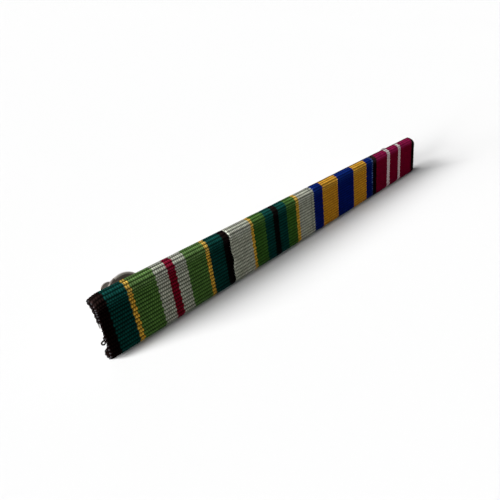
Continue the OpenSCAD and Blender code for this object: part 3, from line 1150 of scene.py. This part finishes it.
class RIBBONBAR_OT_ribbons(bpy.types.Operator):
    """Fold the four striped ribbons over the bar, with their selvedges and frayed raw ends"""

    bl_idname = "ribbonbar.ribbons"
    bl_label = "Ribbons"

    def execute(self, context):
        palette, settings = context.scene.ribbon_bar_colours, context.scene.ribbon_bar_weave
        colours = {name: tuple(getattr(palette, name)) for name in palette.__annotations__}
        ribbon_tree, loops, fray = folded_ribbon_tree(), selvedge_tree(), fray_tree()
        matrix = bar_matrix()
        for i, (name, rows) in enumerate(STRIPES.items()):
            weave = dict(WEAVES[name], gap=settings.gap, gloss=settings.gloss)
            cloth = cloth_material(name + "_cloth", rows, weave, colours)
            weft = thread_material(name + "_weft", weave["weft"])
            values = cloth_values(i, name)
            ribbon = grown(name + "_folded", ribbon_tree, cloth, dict(values, **{
                "Columns": 4 * weave["threads"] + 1, "Rows": weave["ribs"] * weave["rows"] + 1,
                "Threads": weave["threads"], "Rib Height": weave["rib_h"] * settings.relief,
                "Thread Height": weave["thread_h"] * settings.relief, "Seed": 1.0 + 2.3 * i,
            }), matrix)
            selvedge = grown(name + "_selvedge", loops, weft, values, matrix)
            ends = grown(name + "_frayed_ends", fray, cloth, dict(values, **{
                "Strands": 2 * weave["threads"], "Length": settings.fray, "Seed": 7 * (i + 1)}), matrix)
            trims = [selvedge, ends]
            if name == "ribbon_1":
                trims += stray_threads(thread_material("stray_thread", colours["black"]))
            for piece in [ribbon] + trims:
                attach(piece, "bar")
            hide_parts(name)
        return {"FINISHED"}


class RIBBONBAR_OT_bar(bpy.types.Operator):
    """Plate the bar that the ribbons wrap, with its two soldered pins"""

    bl_idname = "ribbonbar.bar"
    bl_label = "Bar and Pins"

    def execute(self, context):
        metal = context.scene.ribbon_bar_metal
        plate = plated_bar(nickel_material("plated_bar", tuple(metal.plate), 0.3, 0.2))
        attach(plate, "bar")
        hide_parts("backing_bar")
        return {"FINISHED"}


class RIBBONBAR_OT_clutches(bpy.types.Operator):
    """Stamp the two clutches, with their springs"""

    bl_idname = "ribbonbar.clutches"
    bl_label = "Clutches"

    def execute(self, context):
        metal = context.scene.ribbon_bar_metal
        shell = nickel_material("plated_clutch", tuple(metal.nickel), metal.polish, 0.1)
        sprung = nickel_material("plated_spring", tuple(metal.spring), metal.polish + 0.08, 0.12)
        # Painted shade on the flanges' faces towards the bar and on their left edges
        shade_plating = nickel_material("tarnished_clutch", tuple(metal.tarnish), metal.polish + 0.1, 0.12)
        for side, clutch in CLUTCHES.items():
            cap, spring = "clutch_cap_" + side, "clutch_spring_" + side
            pieces = [
                (stamped_flange("clutch_flange_" + side, clutch, shell, shade_plating), cap, "clutch_nickel"),
                (stamped_dome("clutch_dome_" + side, clutch, shell), cap, "clutch_nickel"),
                (flat_spring("clutch_wings_" + side, clutch, sprung), spring, "spring_nickel"),
            ]
            for piece, node, slot in pieces:
                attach(piece, "clutch_" + side)
                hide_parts(node)
        return {"FINISHED"}


class RIBBONBAR_PT_panel(bpy.types.Panel):
    """Sizes and finishes of the ribbon bar"""

    bl_idname = "RIBBONBAR_PT_panel"
    bl_label = "Ribbon Bar"
    bl_space_type = "VIEW_3D"
    bl_region_type = "UI"
    bl_category = "Ribbon Bar"

    def draw(self, context):
        for group in GROUPS:
            settings = getattr(context.scene, group)
            box = self.layout.box()
            for name in settings.__annotations__:
                box.prop(settings, name)
        for step in STEPS:
            self.layout.operator("ribbonbar." + step)


STEPS = ("stage", "ribbons", "bar", "clutches")
GROUPS = {
    "ribbon_bar_colours": RibbonBarColours,
    "ribbon_bar_weave": RibbonBarWeave,
    "ribbon_bar_metal": RibbonBarMetal,
    "ribbon_bar_studio": RibbonBarStudio,
}
CLASSES = (*GROUPS.values(), RIBBONBAR_OT_stage, RIBBONBAR_OT_ribbons, RIBBONBAR_OT_bar,
           RIBBONBAR_OT_clutches, RIBBONBAR_PT_panel)


def register():
    for cls in CLASSES:
        bpy.utils.register_class(cls)
    for name, group in GROUPS.items():
        setattr(bpy.types.Scene, name, bpy.props.PointerProperty(type=group))


def unregister():
    for name in GROUPS:
        delattr(bpy.types.Scene, name)
    for cls in reversed(CLASSES):
        bpy.utils.unregister_class(cls)


def main():
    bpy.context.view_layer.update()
    register()
    for step in STEPS:
        getattr(bpy.ops.ribbonbar, step)()


if __name__ == "__main__":
    main()
